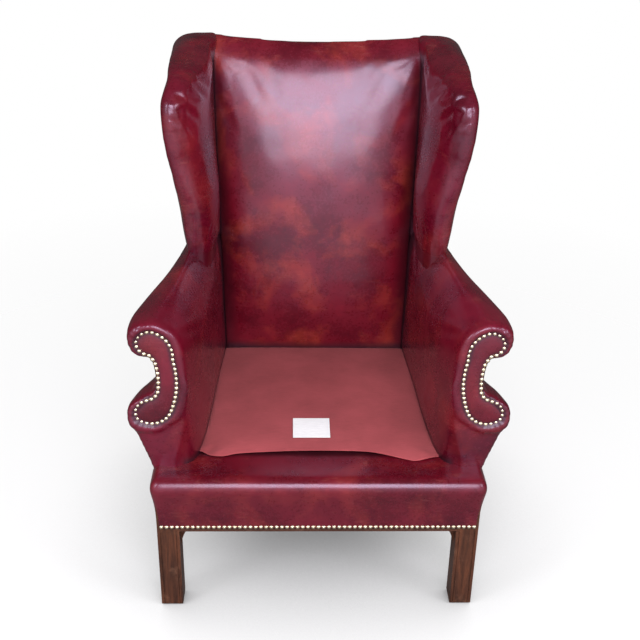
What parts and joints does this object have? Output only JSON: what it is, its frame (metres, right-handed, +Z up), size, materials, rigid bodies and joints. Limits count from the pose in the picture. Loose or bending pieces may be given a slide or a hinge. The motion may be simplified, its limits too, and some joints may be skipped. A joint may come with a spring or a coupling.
{
  "type": "wing armchair",
  "caption": "Leather wing armchair with scrolled arms on square wooden legs, its sprung seat ready for a loose cushion.",
  "frame": {"origin": "on the floor under the middle of the overall box", "axes": "+Z up, the seat faces -Y, +X to the right of someone who faces the chair"},
  "size_m": [0.814, 0.7836, 1.126],
  "materials": {
    "mahogany": "waxed dark mahogany",
    "beech": "unfinished beech",
    "leather": "polished antiqued oxblood leather",
    "stuffing": "horsehair under calico",
    "seat_cotton": "plain salmon red cotton",
    "hessian": "coarse jute cloth",
    "webbing": "woven jute strap",
    "black_lining": "black cambric",
    "brass": "bright domed heads",
    "steel": "plain wire and screws",
    "label_cloth": "plain white woven cloth"
  },
  "bodies": {
    "root": {"arm_facing_left": "leather", "arm_facing_right": "leather", "arm_pad_left": "stuffing", "arm_pad_right": "stuffing", "arm_rail_left": "beech", "arm_rail_right": "beech", "arm_stump_left": "beech", "arm_stump_right": "beech", "arm_tack_rail_left": "beech", "arm_tack_rail_right": "beech", "back_hessian": "hessian", "back_pad": "stuffing", "back_post_left": "beech", "back_post_right": "beech", "back_tack_rail": "beech", "back_webbing": "webbing", "corner_block_screws": "steel", "crest_rail": "beech", "deck_cloth": "seat_cotton", "deck_label": "label_cloth", "dust_cover": "black_lining", "facing_nails_left": "brass", "facing_nails_right": "brass", "front_corner_blocks": "beech", "front_edge_roll": "stuffing", "front_leg_bracket_left": "mahogany", "front_leg_bracket_right": "mahogany", "front_leg_left": "mahogany", "front_leg_right": "mahogany", "front_seat_rail": "beech", "inside_arm_cover_left": "leather", "inside_arm_cover_right": "leather", "inside_back_cover": "leather", "inside_wing_cover_left": "leather", "inside_wing_cover_right": "leather", "outside_arm_cover_left": "leather", "outside_arm_cover_right": "leather", "outside_back_cover": "leather", "outside_wing_cover_left": "leather", "outside_wing_cover_right": "leather", "rear_corner_blocks": "beech", "rear_leg_left": "mahogany", "rear_leg_right": "mahogany", "rear_seat_rail": "beech", "seat_front_cover": "leather", "seat_hessian": "hessian", "seat_pad": "stuffing", "seat_rail_nails": "brass", "seat_springs": "steel", "seat_webbing": "webbing", "side_seat_rail_left": "beech", "side_seat_rail_right": "beech", "wing_pad_left": "stuffing", "wing_pad_right": "stuffing", "wing_post_left": "beech", "wing_post_right": "beech", "wing_rail_left": "beech", "wing_rail_right": "beech"}
  },
  "joints": []
}
